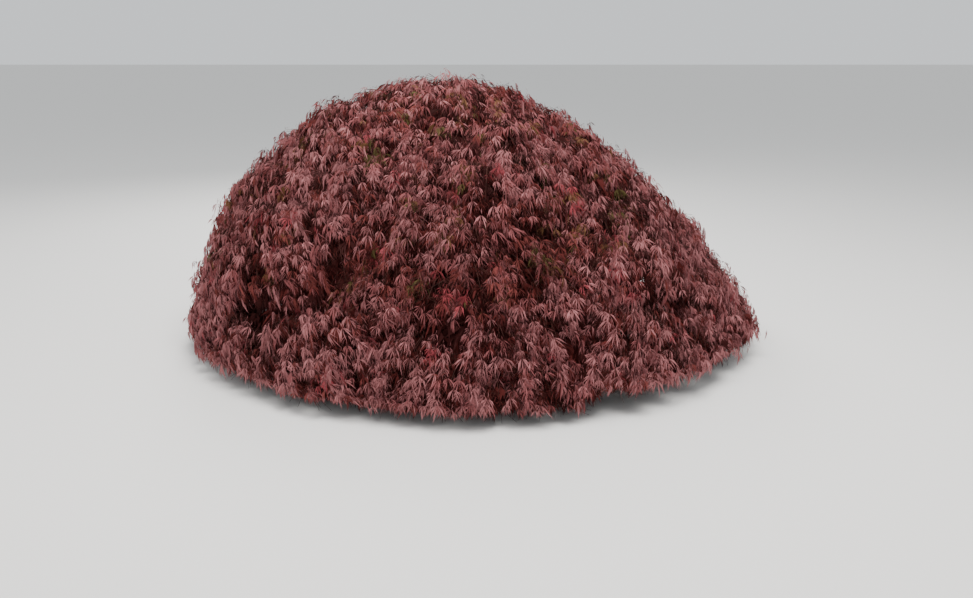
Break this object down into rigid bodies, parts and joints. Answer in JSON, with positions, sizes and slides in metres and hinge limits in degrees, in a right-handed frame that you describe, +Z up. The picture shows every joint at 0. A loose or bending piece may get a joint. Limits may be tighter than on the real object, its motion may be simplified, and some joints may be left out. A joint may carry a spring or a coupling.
{
  "type": "potted weeping laceleaf maple",
  "caption": "Wide dome of a weeping laceleaf maple, its burgundy masses of fine-cut foliage hanging from spreading boughs down to the floor round a plain round clay pot.",
  "frame": {"origin": "middle of the pot's flat underside, at floor level", "axes": "+Z up, -Y towards the front that the picture shows, +X to the right as seen from the front, along the crown's greatest width"},
  "size_m": [3.349, 3.1216, 1.4985],
  "materials": {
    "clay": "unglazed fired clay, matt",
    "soil": "damp crumbly compost",
    "bark": "grey-brown maple bark",
    "foliage": "fine-cut burgundy leaves, matt"
  },
  "bodies": {
    "root": {"pot": "clay", "soil": "soil", "trunk": "bark", "leader": "bark", "main_bough_1": "bark", "main_bough_2": "bark", "main_bough_3": "bark", "main_bough_4": "bark", "main_bough_5": "bark", "main_bough_6": "bark", "main_bough_7": "bark", "crown_bough_1": "bark", "crown_bough_2": "bark", "crown_bough_3": "bark", "crown_bough_4": "bark", "crown_bough_5": "bark", "skirt_bough_1": "bark", "skirt_bough_2": "bark", "skirt_bough_3": "bark", "skirt_bough_4": "bark", "skirt_bough_5": "bark", "skirt_bough_6": "bark", "skirt_bough_7": "bark", "skirt_bough_8": "bark", "skirt_bough_9": "bark", "foliage_top": "foliage", "foliage_crown_1": "foliage", "foliage_crown_2": "foliage", "foliage_crown_3": "foliage", "foliage_crown_4": "foliage", "foliage_crown_5": "foliage", "foliage_shoulder_1": "foliage", "foliage_shoulder_2": "foliage", "foliage_shoulder_3": "foliage", "foliage_shoulder_4": "foliage", "foliage_shoulder_5": "foliage", "foliage_shoulder_6": "foliage", "foliage_shoulder_7": "foliage", "foliage_skirt_1": "foliage", "foliage_skirt_2": "foliage", "foliage_skirt_3": "foliage", "foliage_skirt_4": "foliage", "foliage_skirt_5": "foliage", "foliage_skirt_6": "foliage", "foliage_skirt_7": "foliage", "foliage_skirt_8": "foliage", "foliage_skirt_9": "foliage"}
  },
  "joints": []
}
